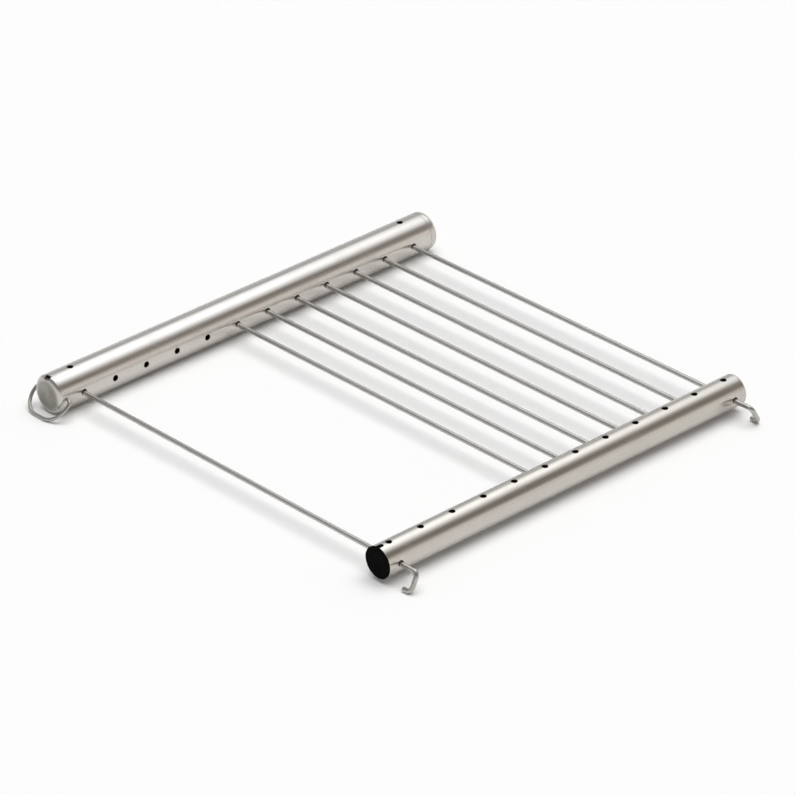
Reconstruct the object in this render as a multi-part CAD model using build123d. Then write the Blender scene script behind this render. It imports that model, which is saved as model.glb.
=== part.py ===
from build123d import *
import math
import os

# Take-apart rod rack: two drilled steel tubes joined by loose rods, with a hinged ring at the left end.
# The thick rear tube lies on the floor, the thin front tube stands on the bent ends of the two end rods.
# Frame: X runs along the rods from the rear tube to the front tube, Y along the tubes, Z up.
# The origin is on the floor, under the middle of the rack's outline. All sizes are in millimetres.

# Rod stations, the same number along any length of tube
station_count = 12
plain_rod_stations = (6, 7, 8, 9, 10, 11)
station_margin = 8.2

# Rails
rail_spacing = 287.0
tube_wall = 1.0
outer_tube_diameter = 25.0
outer_tube_length = 294.4
inner_tube_diameter = 20.0
inner_tube_shorter_by = 14.0
tube_edge_round = 0.3

# Rods, which lie in the bottom of their holes
rod_diameter = 3.0
rod_engagement = 7.0
rod_edge_round = 0.4
rod_hole_clearance = 0.5
rod_rest_gap = 0.15

# Feet, bent from the front ends of the two end rods
foot_overhang = 13.9
foot_lean = 28.0
foot_top_bend = 3.0
foot_corner_bend = 3.4
foot_toe = 3.0

# Top holes and lock slot
top_hole_diameter = 4.1
slot_width = 3.4
slot_depth = 4.0

# Carry ring at the left end of the outer tube
wire_diameter = 2.2
wire_end_round = 0.4
peg_clearance = 0.05
peg_reach = 1.2
ring_inset = 2.4
ring_side_gap = 0.1
ring_lean = 47.9
ring_top_bend = 3.4
ring_straight = 1.0

# End caps, packing plug and stopper
cap_fit_clearance = 0.05
cap_plug_depth = 3.0
peg_groove_clearance = 0.25
outer_cap_length = 5.8
outer_cap_round = 3.4
inner_cap_length = 1.8
inner_cap_round = 1.5
packing_plug_length = 3.0
packing_plug_round = 2.8
pry_notch_width = 4.4
pry_notch_depth = 2.4
stopper_depth = 3.2
stopper_flange = 1.0
stopper_round = 0.3
stopper_slot_clearance = 0.1

# Derived sizes
outer_radius = outer_tube_diameter / 2
outer_bore = outer_radius - tube_wall
inner_radius = inner_tube_diameter / 2
inner_bore = inner_radius - tube_wall
rod_radius = rod_diameter / 2
rod_hole_radius = rod_radius + rod_hole_clearance
wire_radius = wire_diameter / 2
peg_hole_radius = wire_radius + peg_clearance
axis_z = outer_radius
rod_z = axis_z - rod_hole_clearance + rod_rest_gap
outer_end = outer_tube_length / 2
inner_end = outer_end - inner_tube_shorter_by / 2
first_station = station_margin - inner_end
station_pitch = -2 * first_station / (station_count - 1)
end_stations = (1, station_count)

# Carry ring, long enough for its bar to rest on the floor at the given lean
ring_half_width = outer_radius + ring_side_gap + ring_top_bend
ring_depth = (axis_z - wire_radius) / math.cos(math.radians(ring_lean))
ring_bend = ring_depth - ring_top_bend - ring_straight
ring_y = ring_inset - outer_end

# Foot of an end rod, long enough for its toe to rest on the floor at the given lean
foot_depth = (rod_z - rod_radius) / math.cos(math.radians(foot_lean))

# Places along X, with the outline's middle at zero
rear_reach = ring_half_width + wire_radius
front_reach = inner_radius + foot_overhang + rod_radius
rear_x = (rear_reach - rail_spacing - front_reach) / 2
front_x = rear_x + rail_spacing
rod_start = rear_x + outer_radius - rod_engagement
rod_end = front_x - inner_radius + rod_engagement
foot_x = front_x + inner_radius + foot_overhang

# Move along Y that brings the outline's middle to zero, from the ring's bar to the cap's face
left_reach = -ring_y + ring_depth * math.sin(math.radians(ring_lean)) + wire_radius
right_reach = outer_end + outer_cap_length
middle_y = (left_reach - right_reach) / 2


def station_y(number):
    """Place along the tubes of a rod station, counted from 1 at the -Y end."""
    return first_station + (number - 1) * station_pitch


def bar(radius, start, end):
    """Round bar between two points."""
    path = Vector(*end) - Vector(*start)
    plane = Plane(origin=start, z_dir=path.normalized())
    return plane * Cylinder(radius, path.length, align=(Align.CENTER, Align.CENTER, Align.MIN))


def plain_tube(x, radius, bore, end):
    """Drawn tube along Y with its sharp edges taken off."""
    body = bar(radius, (x, -end, axis_z), (x, end, axis_z))
    body -= bar(bore, (x, -end, axis_z), (x, end, axis_z))
    rims = body.edges().filter_by(GeomType.CIRCLE)
    return fillet(rims, tube_edge_round)


def side_drill(x, radius, hole_radius, y, side):
    """Drill through the wall that faces along X on the given side."""
    return bar(hole_radius, (x, y, axis_z), (x + side * (radius + tube_wall), y, axis_z))


def top_drill(x, radius, hole_radius, y):
    """Drill through the top wall."""
    return bar(hole_radius, (x, y, axis_z), (x, y, axis_z + radius + tube_wall))


def end_slot(x, radius, end, depth):
    """Round-ended slot in the top wall at the open -Y end."""
    straight = depth - slot_width / 2
    block = Pos(x, -end + straight / 2, axis_z + radius) * Box(slot_width, straight, radius)
    outside = Pos(x, -end - tube_wall, axis_z + radius) * Box(slot_width, 2 * tube_wall, radius)
    low = (x, -end + straight, axis_z + radius / 2)
    high = (x, -end + straight, axis_z + 3 * radius / 2)
    return block + outside + bar(slot_width / 2, low, high)


def spot(point):
    """Point of a wire's flat outline, given as across and down, set in the XZ plane."""
    return Vector(point[0], 0, -point[1])


def straight_run(start, end):
    """Straight stretch of a wire's outline."""
    return Line(spot(start), spot(end))


def quarter_turn(start, bend, leaving, turning):
    """Quarter arc of a wire's outline that leaves its start along one direction and turns to another."""
    corner = math.sqrt(0.5)
    middle = [p + bend * (corner * a + (1 - corner) * b) for p, a, b in zip(start, leaving, turning)]
    last = [p + bend * (a + b) for p, a, b in zip(start, leaving, turning)]
    return ThreePointArc(spot(start), spot(middle), spot(last)), last


def bent_wire(edges, radius, tip_round):
    """Round wire swept along joined lines and arcs, with both tips rounded."""
    path = Wire(edges)
    body = sweep(Plane(origin=path @ 0, z_dir=path % 0) * Circle(radius), path=path)
    tips = [path @ 0, path @ 1]
    circles = body.edges().filter_by(GeomType.CIRCLE)
    ends = [edge for edge in circles if min((edge.arc_center - tip).length for tip in tips) < tip_round]
    return fillet(ends, tip_round)


def end_rod(y, side):
    """Cross rod that passes through the front tube and ends in a foot leaning outwards."""
    top_start = (foot_x - foot_top_bend, 0)
    top_arc, top_last = quarter_turn(top_start, foot_top_bend, (1, 0), (0, 1))
    corner_start = (foot_x, foot_depth - foot_corner_bend)
    corner_arc, corner_last = quarter_turn(corner_start, foot_corner_bend, (0, 1), (-1, 0))
    toe = (corner_last[0] - foot_toe, corner_last[1])
    edges = [
        straight_run((rod_start, 0), top_start),
        top_arc,
        straight_run(top_last, corner_start),
        corner_arc,
        straight_run(corner_last, toe),
    ]
    return Pos(0, y, rod_z) * Rot(side * foot_lean, 0, 0) * bent_wire(edges, rod_radius, rod_edge_round)


def hinged_ring(x, y, bore, side):
    """Wire ring hung on two pegs in the tube's wall, leaning outwards until its bar meets the floor."""
    inner = bore - peg_reach

    def arm(s):
        first = (s * inner, 0)
        top_start = (s * (ring_half_width - ring_top_bend), 0)
        top_arc, top_last = quarter_turn(top_start, ring_top_bend, (s, 0), (0, 1))
        low_start = (s * ring_half_width, ring_depth - ring_bend)
        low_arc, low_last = quarter_turn(low_start, ring_bend, (0, 1), (-s, 0))
        runs = [straight_run(first, top_start), top_arc, straight_run(top_last, low_start), low_arc]
        return runs, low_last

    back_edges, back_low = arm(-1)
    front_edges, front_low = arm(1)
    edges = back_edges + [straight_run(back_low, front_low)] + front_edges
    return Pos(x, y, axis_z) * Rot(side * ring_lean, 0, 0) * bent_wire(edges, wire_radius, wire_end_round)


def end_cap(x, radius, bore, end, length, edge_round):
    """Turned cap at the +Y end: rounded collar and a short plug in the bore."""
    plug_radius = bore - cap_fit_clearance
    collar = bar(radius, (x, end, axis_z), (x, end + length, axis_z))
    rim = collar.edges().filter_by(GeomType.CIRCLE).sort_by(Axis.Y)[-1]
    collar = fillet(rim, edge_round)
    return collar + bar(plug_radius, (x, end - cap_plug_depth, axis_z), (x, end, axis_z))


def facing_left(body):
    """The same body turned round for the -Y end."""
    return mirror(body, about=Plane.XZ)


# Outer tube: rod holes towards the front, a top hole at each end station, ring peg holes at the left end
outer_tube = plain_tube(rear_x, outer_radius, outer_bore, outer_end)
for number in range(1, station_count + 1):
    outer_tube -= side_drill(rear_x, outer_radius, rod_hole_radius, station_y(number), 1)
for number in end_stations:
    outer_tube -= top_drill(rear_x, outer_radius, top_hole_diameter / 2, station_y(number))
for side in (-1, 1):
    outer_tube -= side_drill(rear_x, outer_radius, peg_hole_radius, ring_y, side)

# Inner tube: rod holes towards the rear, through at the end stations, and a top hole at every station
inner_tube = plain_tube(front_x, inner_radius, inner_bore, inner_end)
for number in range(1, station_count + 1):
    inner_tube -= side_drill(front_x, inner_radius, rod_hole_radius, station_y(number), -1)
    inner_tube -= top_drill(front_x, inner_radius, top_hole_diameter / 2, station_y(number))
for number in end_stations:
    inner_tube -= side_drill(front_x, inner_radius, rod_hole_radius, station_y(number), 1)
inner_tube -= end_slot(front_x, inner_radius, inner_end, slot_depth)

# End caps
outer_cap = end_cap(rear_x, outer_radius, outer_bore, outer_end, outer_cap_length, outer_cap_round)
inner_cap = end_cap(front_x, inner_radius, inner_bore, inner_end, inner_cap_length, inner_cap_round)

# Packing plug: pulled out of the outer tube to pack the inner tube in it
# A pry notch is cut in its top, and grooves in its sides pass the pegs of the ring
packing_plug = facing_left(
    end_cap(rear_x, outer_radius, outer_bore, outer_end, packing_plug_length, packing_plug_round))
notch_length = 2 * (packing_plug_length + cap_plug_depth)
notch = Box(pry_notch_width, notch_length, 2 * pry_notch_depth)
packing_plug -= Pos(rear_x, -outer_end, axis_z + outer_radius) * notch
groove_floor = outer_bore - peg_reach - peg_groove_clearance
groove_height = 2 * (wire_radius + peg_groove_clearance)
for side in (-1, 1):
    groove = Box(outer_radius, cap_plug_depth, groove_height)
    groove_x = rear_x + side * (groove_floor + outer_radius / 2)
    packing_plug -= Pos(groove_x, cap_plug_depth / 2 - outer_end, axis_z) * groove

# Stopper: soft flanged plug in the open end of the inner tube with a key in the slot
stopper_radius = inner_bore - cap_fit_clearance
key_width = slot_width - 2 * stopper_slot_clearance
key_length = slot_depth - slot_width / 2
flange = bar(inner_radius, (front_x, -inner_end - stopper_flange, axis_z), (front_x, -inner_end, axis_z))
face_rim = flange.edges().filter_by(GeomType.CIRCLE).sort_by(Axis.Y)[0]
stopper = fillet(face_rim, stopper_round)
stopper += bar(stopper_radius, (front_x, -inner_end, axis_z), (front_x, -inner_end + stopper_depth, axis_z))
key_ring = bar(inner_radius, (front_x, -inner_end, axis_z), (front_x, -inner_end + key_length, axis_z))
key = Pos(front_x, -inner_end + key_length / 2, axis_z + inner_radius / 2)
key = key * Box(key_width, key_length, inner_radius)
stopper += key & key_ring

nodes = {
    "outer_tube": outer_tube,
    "outer_tube_end_cap": outer_cap,
    "outer_tube_packing_plug": packing_plug,
    "inner_tube": inner_tube,
    "inner_tube_end_cap": inner_cap,
    "inner_tube_stopper": stopper,
    "end_rod_left": end_rod(station_y(1), -1),
    "end_rod_right": end_rod(station_y(station_count), 1),
    "carry_ring": hinged_ring(rear_x, ring_y, outer_bore, -1),
}

# Plain cross rods
for number in plain_rod_stations:
    rod = bar(rod_radius, (rod_start, station_y(number), rod_z), (rod_end, station_y(number), rod_z))
    nodes[f"rod_{number:02d}"] = fillet(rod.edges().filter_by(GeomType.CIRCLE), rod_edge_round)

os.makedirs("parts", exist_ok=True)
for name, body in nodes.items():
    export_step(Pos(0, middle_y, 0) * body, f"parts/{name}.step")
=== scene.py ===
import math

import bpy
import numpy as np
from mathutils import Matrix, Vector


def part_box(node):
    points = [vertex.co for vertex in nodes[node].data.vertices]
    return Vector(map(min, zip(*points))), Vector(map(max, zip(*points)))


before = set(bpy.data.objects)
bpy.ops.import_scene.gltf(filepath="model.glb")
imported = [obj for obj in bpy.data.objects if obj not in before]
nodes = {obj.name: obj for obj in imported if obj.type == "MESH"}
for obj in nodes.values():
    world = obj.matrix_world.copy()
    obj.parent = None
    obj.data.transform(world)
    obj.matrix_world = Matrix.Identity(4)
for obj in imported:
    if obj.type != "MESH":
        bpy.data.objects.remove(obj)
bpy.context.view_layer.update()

# Camera of the photograph: angles in degrees, distances in metres, lens and sensor in millimetres
CAMERA_AZIMUTH = 49.5348
CAMERA_ELEVATION = 28.8362
CAMERA_ROLL = -2.4803
CAMERA_TARGET = Vector((0.003906, -0.00253, 0.0125))
CAMERA_DISTANCE = 3.084711
CAMERA_LENS = 235.51
CAMERA_SENSOR = 36.0
CAMERA_NEAREST = 0.05
CAMERA_FARTHEST = 50.0

# Softbox that the polished metal mirrors: corners, height and the stretches of its shading in metres
SOFTBOX_LOW = (-1.7, -0.35)
SOFTBOX_HIGH = (0.75, 2.0)
SOFTBOX_HEIGHT = 1.01
SOFTBOX_RADIANCE = 1.97
SOFTBOX_COLOUR = (0.909, 0.95, 1.0)
SOFTBOX_RISE = (-1.53, -0.37)
SOFTBOX_FALL = (-0.26, 0.74)
SOFTBOX_WANE = (0.72, 1.02)
SOFTBOX_WANE_SHARE = 0.4

# Overhead lamp that shades the floor: where its light comes from, its width in degrees and its share
OVERHEAD_FROM = Vector((0.09, 0.1, 0.99))
OVERHEAD_WIDTH = 60.0
OVERHEAD_SHARE = 0.67

# Floor, in metres, and its colour
FLOOR_HALF_WIDTH = 6.0
FLOOR_HEIGHT = 0.0
FLOOR_COLOUR = (0.982, 0.982, 0.98, 1.0)

# Light from all round, and what metal mirrors there; fades in degrees of elevation, side fade as a sine
EVEN_LIGHT = (0.33, 0.33, 0.33, 1.0)
CLEAR_WHITE = (1.0, 1.0, 1.0, 1.0)
MIRRORED_FRONT = (0.99, 0.95, 0.91, 1.0)
MIRRORED_ABOVE = (0.27, 0.245, 0.22, 1.0)
MIRRORED_REAR = (0.64, 0.655, 0.665, 1.0)
MIRRORED_LEFT = (0.53, 0.543, 0.553, 1.0)
FRONT_FADE = (12.0, 30.0)
REAR_FADE = (20.0, 45.0)
SIDE_FADE = 0.2

# Tube finish: colours, and the rubbed ends in metres
REAR_TUBE_DARK = (0.56, 0.533, 0.50, 1.0)
REAR_TUBE_LIGHT = (0.60, 0.573, 0.54, 1.0)
FRONT_TUBE_DARK = (0.528, 0.498, 0.456, 1.0)
FRONT_TUBE_LIGHT = (0.569, 0.539, 0.497, 1.0)
TUBE_SMUDGE = (0.50, 0.475, 0.44, 1.0)
TUBE_SPECK = (0.36, 0.34, 0.32, 1.0)
TUBE_RUBBED = (0.66, 0.635, 0.60, 1.0)
TUBE_END_HALF_WIDTH = 0.0004
TUBE_END_FADE = 0.0016

# Cap finish
CAP_DARK = (0.53, 0.505, 0.47, 1.0)
CAP_LIGHT = (0.60, 0.575, 0.535, 1.0)
CAP_SMUDGE = (0.47, 0.45, 0.42, 1.0)
CAP_SPECK = (0.34, 0.32, 0.30, 1.0)

# Packing plug finish: colours, the rounding of its edge and the fade of its rim's polish in metres
PLUG_DARK = (0.30, 0.288, 0.262, 1.0)
PLUG_LIGHT = (0.38, 0.365, 0.335, 1.0)
PLUG_STAIN = (0.20, 0.185, 0.165, 1.0)
PLUG_RIM = (0.56, 0.54, 0.51, 1.0)
PLUG_SPECK = (0.16, 0.15, 0.14, 1.0)
PLUG_EDGE_ROUNDING = 0.0028
PLUG_RIM_FADE = 0.0018

# Rod finish: colours, and the bands rubbed by the tube walls in metres
ROD_DARK = (0.43, 0.415, 0.39, 1.0)
ROD_LIGHT = (0.49, 0.475, 0.45, 1.0)
ROD_SMUDGE = (0.36, 0.345, 0.325, 1.0)
ROD_SPECK = (0.27, 0.25, 0.24, 1.0)
ROD_RUBBED = (0.56, 0.545, 0.52, 1.0)
WALL_HALF_WIDTH = 0.003
WALL_FADE = 0.004

# Ring wire finish
WIRE_DARK = (0.40, 0.39, 0.365, 1.0)
WIRE_LIGHT = (0.46, 0.445, 0.415, 1.0)
WIRE_SMUDGE = (0.33, 0.32, 0.30, 1.0)
WIRE_SPECK = (0.28, 0.265, 0.25, 1.0)
WIRE_RUBBED = (0.62, 0.60, 0.57, 1.0)

# Soles of ring and rod feet, rubbed by the floor, in metres
SOLE_HALF_WIDTH = 0.0001
SOLE_FADE = 0.0006

# Stopper finish
RUBBER_DARK = (0.0012, 0.0012, 0.0012, 1.0)
RUBBER_LIGHT = (0.002, 0.002, 0.002, 1.0)
# Paler clouds painted on the rubber as sheen
RUBBER_PAINTED_SHEEN = (0.011, 0.011, 0.0115, 1.0)
RUBBER_DUST = (0.03, 0.03, 0.029, 1.0)
RUBBER_SPECULAR = 0.02

# Strength of every fine relief
RELIEF_STRENGTH = 0.6

# Socket kinds of the shared groups
FLOAT = "NodeSocketFloat"
VECTOR = "NodeSocketVector"

# Places of the pieces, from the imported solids
outer_low, outer_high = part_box("outer_tube")
inner_low, inner_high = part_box("inner_tube")
rear_axis_point = tuple((outer_low + outer_high) / 2)
front_axis_point = tuple((inner_low + inner_high) / 2)
plug_face_radius = (outer_high.z - outer_low.z) / 2 - PLUG_EDGE_ROUNDING


def feed(tree, slot, value):
    """Link a socket to another one, or set it to a written value."""
    if isinstance(value, bpy.types.NodeSocket):
        tree.links.new(value, slot)
    else:
        slot.default_value = value


def math_node(tree, operation, *values, clamp=False):
    """Math node with its inputs fed in order; gives its output."""
    node = tree.nodes.new("ShaderNodeMath")
    node.operation = operation
    node.use_clamp = clamp
    for slot, value in zip(node.inputs, values):
        feed(tree, slot, value)
    return node.outputs[0]


def vector_node(tree, operation, *values):
    """Vector Math node with its inputs fed in order; gives the length it measures, or else its vector."""
    node = tree.nodes.new("ShaderNodeVectorMath")
    node.operation = operation
    for slot, value in zip(node.inputs, values):
        feed(tree, slot, value)
    return node.outputs["Value" if operation == "LENGTH" else "Vector"]


def noise(tree, place, scale, detail, rough, dimensions="3D"):
    """Noise texture at the given place; gives its value."""
    node = tree.nodes.new("ShaderNodeTexNoise")
    node.noise_dimensions = dimensions
    feed(tree, node.inputs["W" if dimensions == "1D" else "Vector"], place)
    feed(tree, node.inputs["Scale"], scale)
    feed(tree, node.inputs["Detail"], detail)
    feed(tree, node.inputs["Roughness"], rough)
    return node.outputs[0]


def spread(tree, value, low, high):
    """Map Range node from low to high onto 0 to 1, smooth at both ends."""
    node = tree.nodes.new("ShaderNodeMapRange")
    node.interpolation_type = "SMOOTHSTEP"
    feed(tree, node.inputs["Value"], value)
    feed(tree, node.inputs["From Min"], low)
    feed(tree, node.inputs["From Max"], high)
    return node.outputs["Result"]


def blend(tree, share, first, second):
    """Mix node between two colours, each a link or a written colour."""
    node = tree.nodes.new("ShaderNodeMix")
    node.data_type = "RGBA"
    feed(tree, node.inputs["Factor"], share)
    feed(tree, node.inputs["A"], first)
    feed(tree, node.inputs["B"], second)
    return node.outputs["Result"]


def place_camera():
    """Camera on a sphere round its target, turned by azimuth, elevation and roll."""
    azimuth = math.radians(CAMERA_AZIMUTH)
    elevation = math.radians(CAMERA_ELEVATION)
    roll = math.radians(CAMERA_ROLL)
    level = math.cos(elevation)
    back = Vector((math.sin(azimuth) * level, -math.cos(azimuth) * level, math.sin(elevation)))
    right = (-back).cross(Vector((0, 0, 1))).normalized()
    up = right.cross(-back)
    tilted_right = math.cos(roll) * right + math.sin(roll) * up
    tilted_up = -math.sin(roll) * right + math.cos(roll) * up
    turn = Matrix((tilted_right, tilted_up, back)).transposed().to_4x4()
    data = bpy.data.cameras.new("camera")
    data.lens = CAMERA_LENS
    data.sensor_width = CAMERA_SENSOR
    data.clip_start = CAMERA_NEAREST
    data.clip_end = CAMERA_FARTHEST
    camera = bpy.data.objects.new("camera", data)
    camera.matrix_world = Matrix.Translation(CAMERA_TARGET + back * CAMERA_DISTANCE) @ turn
    bpy.context.scene.collection.objects.link(camera)
    bpy.context.scene.camera = camera


def hang_softbox():
    """Rectangular light facing down for polished surfaces only, so the floor stays even.

    Along X its radiance rises smoothly over SOFTBOX_RISE and falls smoothly over SOFTBOX_FALL.
    Along Y it loses SOFTBOX_WANE_SHARE over SOFTBOX_WANE.
    """
    (x0, y0), (x1, y1) = SOFTBOX_LOW, SOFTBOX_HIGH
    data = bpy.data.lights.new("softbox", "AREA")
    data.shape = "RECTANGLE"
    data.size = x1 - x0
    data.size_y = y1 - y0
    data.color = SOFTBOX_COLOUR
    data.energy = SOFTBOX_RADIANCE * math.pi * data.size * data.size_y
    data.use_nodes = True
    tree = data.node_tree
    geometry = tree.nodes.new("ShaderNodeNewGeometry")
    split = tree.nodes.new("ShaderNodeSeparateXYZ")
    tree.links.new(geometry.outputs["Parametric"], split.inputs[0])
    rise, fall = [
        spread(tree, split.outputs["X"], (low - x0) / data.size, (high - x0) / data.size)
        for low, high in (SOFTBOX_RISE, SOFTBOX_FALL)]
    wane = spread(tree, split.outputs["Y"], *((y - y0) / data.size_y for y in SOFTBOX_WANE))
    kept = math_node(tree, "SUBTRACT", 1.0, math_node(tree, "MULTIPLY", wane, SOFTBOX_WANE_SHARE))
    strength = math_node(tree, "MULTIPLY", math_node(tree, "SUBTRACT", rise, fall), kept)
    tree.links.new(strength, tree.nodes["Emission"].inputs["Strength"])
    lamp = bpy.data.objects.new("softbox", data)
    lamp.location = ((x0 + x1) / 2, (y0 + y1) / 2, SOFTBOX_HEIGHT)
    lamp.visible_camera = False
    lamp.visible_diffuse = False
    bpy.context.scene.collection.objects.link(lamp)


def hang_overhead():
    """Wide soft lamp for matt surfaces only.

    With the even light it brings the open floor to its own colour.
    """
    data = bpy.data.lights.new("overhead", "SUN")
    data.angle = math.radians(OVERHEAD_WIDTH)
    data.energy = OVERHEAD_SHARE * math.pi / OVERHEAD_FROM.normalized().z
    lamp = bpy.data.objects.new("overhead", data)
    lamp.rotation_euler = OVERHEAD_FROM.to_track_quat("Z", "Y").to_euler()
    lamp.visible_camera = False
    lamp.visible_glossy = False
    bpy.context.scene.collection.objects.link(lamp)


def surround():
    """World that is white to the camera and even to matt surfaces.

    Metal mirrors near white low in front, two greys low behind and to the left, and a dim tone above.
    """
    world = bpy.data.worlds.new("studio")
    bpy.context.scene.world = world
    world.use_nodes = True
    tree = world.node_tree
    tree.nodes.clear()
    output = tree.nodes.new("ShaderNodeOutputWorld")
    background = tree.nodes.new("ShaderNodeBackground")
    direction = tree.nodes.new("ShaderNodeTexCoord")
    split = tree.nodes.new("ShaderNodeSeparateXYZ")
    rays = tree.nodes.new("ShaderNodeLightPath")
    tree.links.new(direction.outputs["Generated"], split.inputs[0])

    def fading(fade, low_colour):
        """Colour that goes smoothly from low_colour to the dim tone between two elevations in degrees."""
        low, high = (math.sin(math.radians(angle)) for angle in fade)
        return blend(tree, spread(tree, split.outputs["Z"], low, high), low_colour, MIRRORED_ABOVE)

    in_front = spread(tree, split.outputs["X"], -SIDE_FADE, SIDE_FADE)
    to_right = spread(tree, split.outputs["Y"], -SIDE_FADE, SIDE_FADE)
    rear = fading(REAR_FADE, blend(tree, to_right, MIRRORED_LEFT, MIRRORED_REAR))
    mirrored = blend(tree, in_front, rear, fading(FRONT_FADE, MIRRORED_FRONT))
    seen = blend(tree, rays.outputs["Is Camera Ray"], EVEN_LIGHT, CLEAR_WHITE)
    colour = blend(tree, rays.outputs["Is Glossy Ray"], seen, mirrored)
    tree.links.new(colour, background.inputs["Color"])
    tree.links.new(background.outputs[0], output.inputs[0])


def lay_floor():
    """Flat pale sheet under the rack.

    Each corner is (u, v, floor height), with u and v at minus or plus the half width.
    """
    reach = np.array((-FLOOR_HALF_WIDTH, FLOOR_HALF_WIDTH))
    u, v = np.meshgrid(reach, reach)
    corners = np.stack((u, v, np.full_like(u, FLOOR_HEIGHT)), axis=-1).reshape(-1, 3)
    mesh = bpy.data.meshes.new("floor")
    mesh.from_pydata(corners.tolist(), [], [(0, 1, 3, 2)])
    floor = bpy.data.objects.new("floor", mesh)
    bpy.context.scene.collection.objects.link(floor)
    material = bpy.data.materials.new("pale_floor")
    material.use_nodes = True
    shader = material.node_tree.nodes["Principled BSDF"]
    shader.inputs["Base Color"].default_value = FLOOR_COLOUR
    shader.inputs["Roughness"].default_value = 1.0
    shader.inputs["Specular IOR Level"].default_value = 0.0
    mesh.materials.append(material)


def new_group(name, inputs, outputs):
    """Shader node group with named sockets.

    Inputs and outputs are given as name and kind.
    It gives the tree, the sockets that come in and the sockets to fill.
    """
    tree = bpy.data.node_groups.new(name, "ShaderNodeTree")
    for in_out, sockets in (("INPUT", inputs), ("OUTPUT", outputs)):
        for label, kind in sockets.items():
            tree.interface.new_socket(label, in_out=in_out, socket_type=kind)
    return tree, tree.nodes.new("NodeGroupInput").outputs, tree.nodes.new("NodeGroupOutput").inputs


def drawn_grain_group():
    """Lines left by drawing: noise squeezed across the bar and stretched along it, coarse and fine."""
    tree, given, wanted = new_group(
        "drawn_grain",
        {"Position": VECTOR, "Lines per metre": VECTOR},
        {"Streaks": FLOAT, "Scratches": FLOAT})
    stretched = vector_node(tree, "MULTIPLY", given["Position"], given["Lines per metre"])
    coarse = noise(tree, stretched, scale=1.0, detail=3.0, rough=0.55)
    fine = noise(tree, stretched, scale=4.3, detail=4.0, rough=0.7)
    tree.links.new(spread(tree, coarse, low=0.3, high=0.7), wanted["Streaks"])
    tree.links.new(spread(tree, fine, low=0.35, high=0.75), wanted["Scratches"])
    return tree


def handling_marks_group():
    """Marks of use: soft cloudy smudges and sparse small specks, both from noise past a threshold; on the
    rubber the smudges carry painted sheen.
    """
    tree, given, wanted = new_group(
        "handling_marks",
        {"Position": VECTOR, "Smudge scale": FLOAT, "Speck scale": FLOAT},
        {"Smudge": FLOAT, "Specks": FLOAT})
    clouds = noise(tree, given["Position"], given["Smudge scale"], detail=5.0, rough=0.6)
    grains = noise(tree, given["Position"], given["Speck scale"], detail=1.0, rough=0.4)
    tree.links.new(spread(tree, clouds, low=0.42, high=0.74), wanted["Smudge"])
    tree.links.new(spread(tree, grains, low=0.7, high=0.78), wanted["Specks"])
    return tree


def worn_band_group():
    """Rubbed band: full within Half width of the Centre, then fading over Fade with a noisy edge."""
    tree, given, wanted = new_group(
        "worn_band",
        {"Position": VECTOR, "Coordinate": FLOAT, "Centre": FLOAT, "Half width": FLOAT, "Fade": FLOAT},
        {"Worn": FLOAT})
    offset = math_node(tree, "SUBTRACT", given["Coordinate"], given["Centre"])
    distance = math_node(tree, "ABSOLUTE", offset)
    ragged = noise(tree, given["Position"], scale=700.0, detail=3.0, rough=0.55)
    ragged = math_node(tree, "MULTIPLY", ragged, given["Fade"])
    distance = math_node(tree, "ADD", distance, ragged)
    past = math_node(tree, "SUBTRACT", distance, given["Half width"])
    share = math_node(tree, "DIVIDE", past, given["Fade"])
    tree.links.new(math_node(tree, "SUBTRACT", 1.0, share, clamp=True), wanted["Worn"])
    return tree


def turned_rings_group():
    """Rings left by the lathe: one-dimensional noise of the distance from the turning axis along Y."""
    tree, given, wanted = new_group(
        "turned_rings",
        {"Position": VECTOR, "Axis point": VECTOR, "Rings per metre": FLOAT},
        {"Rings": FLOAT, "Radius": FLOAT})
    arm = vector_node(tree, "SUBTRACT", given["Position"], given["Axis point"])
    across_axis = vector_node(tree, "MULTIPLY", arm, (1.0, 0.0, 1.0))
    radius = vector_node(tree, "LENGTH", across_axis)
    lines = noise(tree, radius, given["Rings per metre"], detail=3.0, rough=0.6, dimensions="1D")
    tree.links.new(spread(tree, lines, low=0.3, high=0.7), wanted["Rings"])
    tree.links.new(radius, wanted["Radius"])
    return tree


drawn_grain = drawn_grain_group()
handling_marks = handling_marks_group()
worn_band = worn_band_group()
turned_rings = turned_rings_group()


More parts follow.
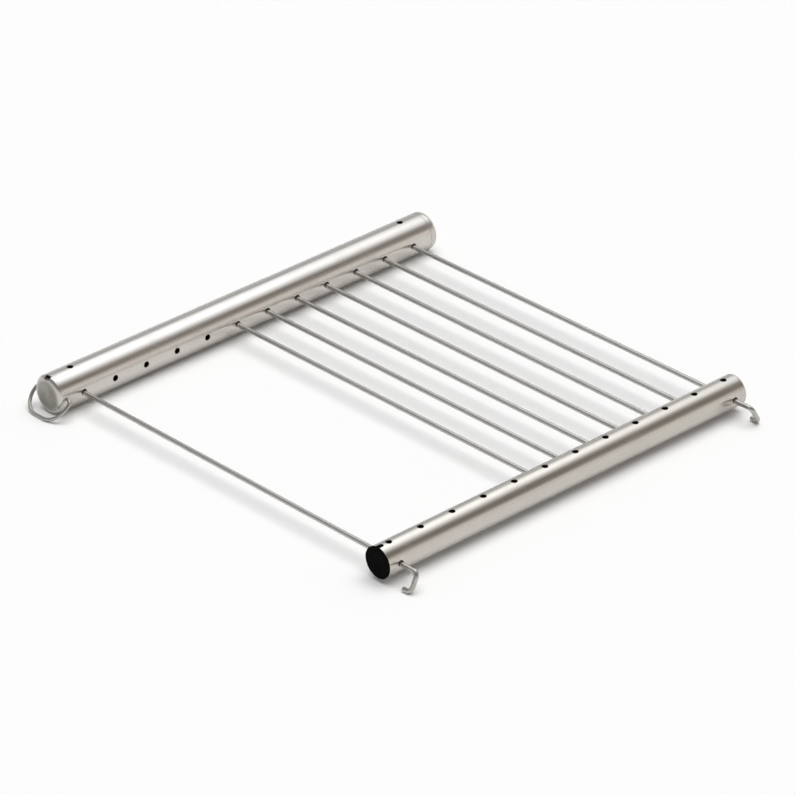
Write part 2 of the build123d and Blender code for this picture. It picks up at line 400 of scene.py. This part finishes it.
class Finish:
    """A material being built: its tree, its shader and the object's own coordinates."""

    def __init__(self, name, metallic):
        self.material = bpy.data.materials.new(name)
        self.material.use_nodes = True
        self.tree = self.material.node_tree
        self.shader = self.tree.nodes["Principled BSDF"]
        self.shader.inputs["Metallic"].default_value = metallic
        self.position = self.tree.nodes.new("ShaderNodeTexCoord").outputs["Object"]
        split = self.tree.nodes.new("ShaderNodeSeparateXYZ")
        self.tree.links.new(self.position, split.inputs[0])
        self.x, self.y, self.z = split.outputs

    def use(self, group, **values):
        """Place a shared group; keyword names are its socket names with underscores for blanks."""
        node = self.tree.nodes.new("ShaderNodeGroup")
        node.node_tree = group
        feed(self.tree, node.inputs["Position"], self.position)
        for label, value in values.items():
            feed(self.tree, node.inputs[label.replace("_", " ")], value)
        return node.outputs

    def rubbed(self, coordinate, centre, half_width, fade):
        """Mask of a rubbed band at one place along a coordinate, in metres."""
        band = self.use(worn_band, Coordinate=coordinate, Centre=centre, Half_width=half_width, Fade=fade)
        return band["Worn"]

    def rubbed_sole(self):
        """Mask of the places that the floor rubs."""
        return self.rubbed(self.z, FLOOR_HEIGHT, SOLE_HALF_WIDTH, SOLE_FADE)

    def tinted(self, colour, mask, share, tint):
        """Colour blended towards a tint by a share of a mask."""
        return blend(self.tree, math_node(self.tree, "MULTIPLY", mask, share), colour, tint)

    def roughened(self, base, *parts):
        """Roughness: the base plus each mask times its share."""
        total = base
        for mask, share in parts:
            total = math_node(self.tree, "ADD", math_node(self.tree, "MULTIPLY", mask, share), total)
        return total

    def settle(self, colour, roughness, height, depth):
        """Link colour, roughness and a fine relief of the given depth in metres; gives the material."""
        bump = self.tree.nodes.new("ShaderNodeBump")
        feed(self.tree, bump.inputs["Height"], height)
        feed(self.tree, bump.inputs["Distance"], depth)
        feed(self.tree, bump.inputs["Strength"], RELIEF_STRENGTH)
        feed(self.tree, self.shader.inputs["Base Color"], colour)
        feed(self.tree, self.shader.inputs["Roughness"], roughness)
        feed(self.tree, self.shader.inputs["Normal"], bump.outputs["Normal"])
        return self.material


def satin_tube_steel(name, left_end, right_end, dark, light):
    """Satin tube: drawing lines from dark to light metal, cloudy handling marks and rubbed ends."""
    finish = Finish(name, metallic=1.0)
    grain = finish.use(drawn_grain, Lines_per_metre=(1100.0, 9.0, 1100.0))
    marks = finish.use(handling_marks, Smudge_scale=48.0, Speck_scale=1500.0)
    along = math_node(finish.tree, "SUBTRACT", finish.y, (left_end + right_end) / 2)
    from_middle = math_node(finish.tree, "ABSOLUTE", along)
    half_length = (right_end - left_end) / 2
    worn_ends = finish.rubbed(from_middle, half_length, TUBE_END_HALF_WIDTH, TUBE_END_FADE)
    colour = blend(finish.tree, grain["Streaks"], dark, light)
    colour = finish.tinted(colour, marks["Smudge"], share=0.35, tint=TUBE_SMUDGE)
    colour = finish.tinted(colour, marks["Specks"], share=0.5, tint=TUBE_SPECK)
    colour = blend(finish.tree, worn_ends, colour, TUBE_RUBBED)
    roughness = finish.roughened(
        0.20, (grain["Streaks"], 0.05), (grain["Scratches"], 0.04), (marks["Smudge"], 0.06))
    return finish.settle(colour, roughness, grain["Scratches"], depth=0.000004)


def turned_cap_steel(name, axis_point):
    """Turned cap: lathe rings on the face, cloudy marks and specks."""
    finish = Finish(name, metallic=1.0)
    rings = finish.use(turned_rings, Axis_point=axis_point, Rings_per_metre=3200.0)
    marks = finish.use(handling_marks, Smudge_scale=90.0, Speck_scale=1700.0)
    colour = blend(finish.tree, rings["Rings"], CAP_DARK, CAP_LIGHT)
    colour = finish.tinted(colour, marks["Smudge"], share=0.4, tint=CAP_SMUDGE)
    colour = finish.tinted(colour, marks["Specks"], share=0.5, tint=CAP_SPECK)
    roughness = finish.roughened(0.24, (rings["Rings"], 0.08), (marks["Smudge"], 0.08))
    return finish.settle(colour, roughness, rings["Rings"], depth=0.000006)


def dull_plug_steel(name, axis_point, face_radius):
    """Packing plug: a dull, darker face with lathe rings and stains, inside a polished rim."""
    finish = Finish(name, metallic=1.0)
    rings = finish.use(turned_rings, Axis_point=axis_point, Rings_per_metre=1500.0)
    marks = finish.use(handling_marks, Smudge_scale=130.0, Speck_scale=1700.0)
    rim = spread(finish.tree, rings["Radius"], face_radius - PLUG_RIM_FADE, face_radius + PLUG_RIM_FADE)
    face = blend(finish.tree, rings["Rings"], PLUG_DARK, PLUG_LIGHT)
    face = finish.tinted(face, marks["Smudge"], share=0.6, tint=PLUG_STAIN)
    colour = blend(finish.tree, rim, face, PLUG_RIM)
    colour = finish.tinted(colour, marks["Specks"], share=0.5, tint=PLUG_SPECK)
    roughness = finish.roughened(0.42, (rings["Rings"], 0.08), (marks["Smudge"], 0.08), (rim, -0.2))
    return finish.settle(colour, roughness, rings["Rings"], depth=0.000012)


def drawn_rod_steel(name, walls, stands_on_floor):
    """Drawn rod: lengthwise lines in darker metal, rubbed bright by the tube walls and by the floor.

    The walls are places along X.
    """
    finish = Finish(name, metallic=1.0)
    grain = finish.use(drawn_grain, Lines_per_metre=(8.0, 2600.0, 2600.0))
    marks = finish.use(handling_marks, Smudge_scale=110.0, Speck_scale=1900.0)
    bands = [finish.rubbed(finish.x, wall, WALL_HALF_WIDTH, WALL_FADE) for wall in walls]
    if stands_on_floor:
        bands.append(finish.rubbed_sole())
    worn = bands[0]
    for band in bands[1:]:
        worn = math_node(finish.tree, "MAXIMUM", worn, band)
    colour = blend(finish.tree, grain["Streaks"], ROD_DARK, ROD_LIGHT)
    colour = finish.tinted(colour, marks["Smudge"], share=0.45, tint=ROD_SMUDGE)
    colour = finish.tinted(colour, marks["Specks"], share=0.5, tint=ROD_SPECK)
    colour = finish.tinted(colour, worn, share=0.6, tint=ROD_RUBBED)
    roughness = finish.roughened(0.24, (grain["Scratches"], 0.07), (marks["Smudge"], 0.08), (worn, -0.06))
    return finish.settle(colour, roughness, grain["Scratches"], depth=0.000004)


def spring_wire_steel(name):
    """Spring wire: fine even grain, cloudy marks, rubbed bright where the ring lies on the floor."""
    finish = Finish(name, metallic=1.0)
    grain = finish.use(drawn_grain, Lines_per_metre=(1500.0, 1500.0, 1500.0))
    marks = finish.use(handling_marks, Smudge_scale=160.0, Speck_scale=1800.0)
    colour = blend(finish.tree, grain["Streaks"], WIRE_DARK, WIRE_LIGHT)
    colour = finish.tinted(colour, marks["Smudge"], share=0.45, tint=WIRE_SMUDGE)
    colour = finish.tinted(colour, marks["Specks"], share=0.5, tint=WIRE_SPECK)
    colour = blend(finish.tree, finish.rubbed_sole(), colour, WIRE_RUBBED)
    roughness = finish.roughened(0.26, (grain["Scratches"], 0.08), (marks["Smudge"], 0.07))
    return finish.settle(colour, roughness, grain["Scratches"], depth=0.000005)


def black_rubber(name):
    """Moulded black rubber: fine moulded grain, paler clouds painted on as sheen, and a few dust specks.
    """
    finish = Finish(name, metallic=0.0)
    finish.shader.inputs["Specular IOR Level"].default_value = RUBBER_SPECULAR
    grain = finish.use(drawn_grain, Lines_per_metre=(2200.0, 2200.0, 2200.0))
    marks = finish.use(handling_marks, Smudge_scale=260.0, Speck_scale=2600.0)
    colour = blend(finish.tree, grain["Streaks"], RUBBER_DARK, RUBBER_LIGHT)
    # Paler clouds painted over the rubber as sheen, standing in for highlights
    colour = finish.tinted(colour, marks["Smudge"], share=0.6, tint=RUBBER_PAINTED_SHEEN)
    colour = finish.tinted(colour, marks["Specks"], share=0.2, tint=RUBBER_DUST)
    roughness = finish.roughened(0.62, (grain["Scratches"], 0.12), (marks["Smudge"], 0.1))
    return finish.settle(colour, roughness, grain["Scratches"], depth=0.00002)


def dress(node, material):
    """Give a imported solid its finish."""
    node.data.materials.clear()
    node.data.materials.append(material)


bpy.context.scene.view_settings.view_transform = "Standard"
place_camera()
hang_softbox()
hang_overhead()
surround()
lay_floor()

rear_tube_steel = satin_tube_steel(
    "rear_tube_steel", outer_low.y, outer_high.y, REAR_TUBE_DARK, REAR_TUBE_LIGHT)
front_tube_steel = satin_tube_steel(
    "front_tube_steel", inner_low.y, inner_high.y, FRONT_TUBE_DARK, FRONT_TUBE_LIGHT)
rear_cap_steel = turned_cap_steel("rear_cap_steel", rear_axis_point)
front_cap_steel = turned_cap_steel("front_cap_steel", front_axis_point)
plug_steel = dull_plug_steel("plug_steel", rear_axis_point, plug_face_radius)
rod_steel = drawn_rod_steel("rod_steel", (outer_high.x, inner_low.x), stands_on_floor=False)
end_rod_steel = drawn_rod_steel(
    "end_rod_steel", (outer_high.x, inner_low.x, inner_high.x), stands_on_floor=True)
wire_steel = spring_wire_steel("wire_steel")
stopper_rubber = black_rubber("stopper_rubber")

dress(nodes["outer_tube"], rear_tube_steel)
dress(nodes["inner_tube"], front_tube_steel)
dress(nodes["outer_tube_end_cap"], rear_cap_steel)
dress(nodes["outer_tube_packing_plug"], plug_steel)
dress(nodes["inner_tube_end_cap"], front_cap_steel)
dress(nodes["inner_tube_stopper"], stopper_rubber)
dress(nodes["carry_ring"], wire_steel)
for name, node in nodes.items():
    if name.startswith("rod_"):
        dress(node, rod_steel)
    elif name.startswith("end_rod_"):
        dress(node, end_rod_steel)
